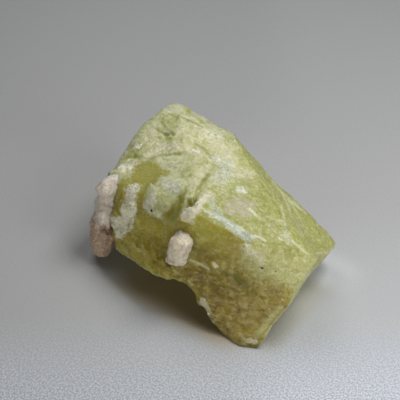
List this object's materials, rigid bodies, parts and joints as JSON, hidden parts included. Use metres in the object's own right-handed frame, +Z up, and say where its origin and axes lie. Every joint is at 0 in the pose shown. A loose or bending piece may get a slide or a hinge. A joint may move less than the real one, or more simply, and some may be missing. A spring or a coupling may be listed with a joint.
{
  "type": "brazilianite crystal",
  "caption": "Loose stubby crystal with etched faces, broken ends and an arched underside, with granular feldspar lumps grown on its flank and front; rests on its flat base.",
  "frame": {"origin": "on the floor under the middle of the specimen's bounding box", "axes": "+X along the crystal from its head, where the flank lump grows, to its tail; +Z up as it rests; -Y is the front with the small nodule"},
  "size_m": [0.0284, 0.0184, 0.0152],
  "materials": {
    "brazilianite": "translucent yellow-green mineral, glassy where clear, frosted and etched elsewhere",
    "flank_feldspar": "dull sugary grains, pinkish grey, brown lower down",
    "front_feldspar": "pale pinkish sugary grains"
  },
  "bodies": {
    "root": {"brazilianite_crystal": "brazilianite", "flank_matrix": "flank_feldspar", "front_nodule": "front_feldspar"}
  },
  "joints": []
}
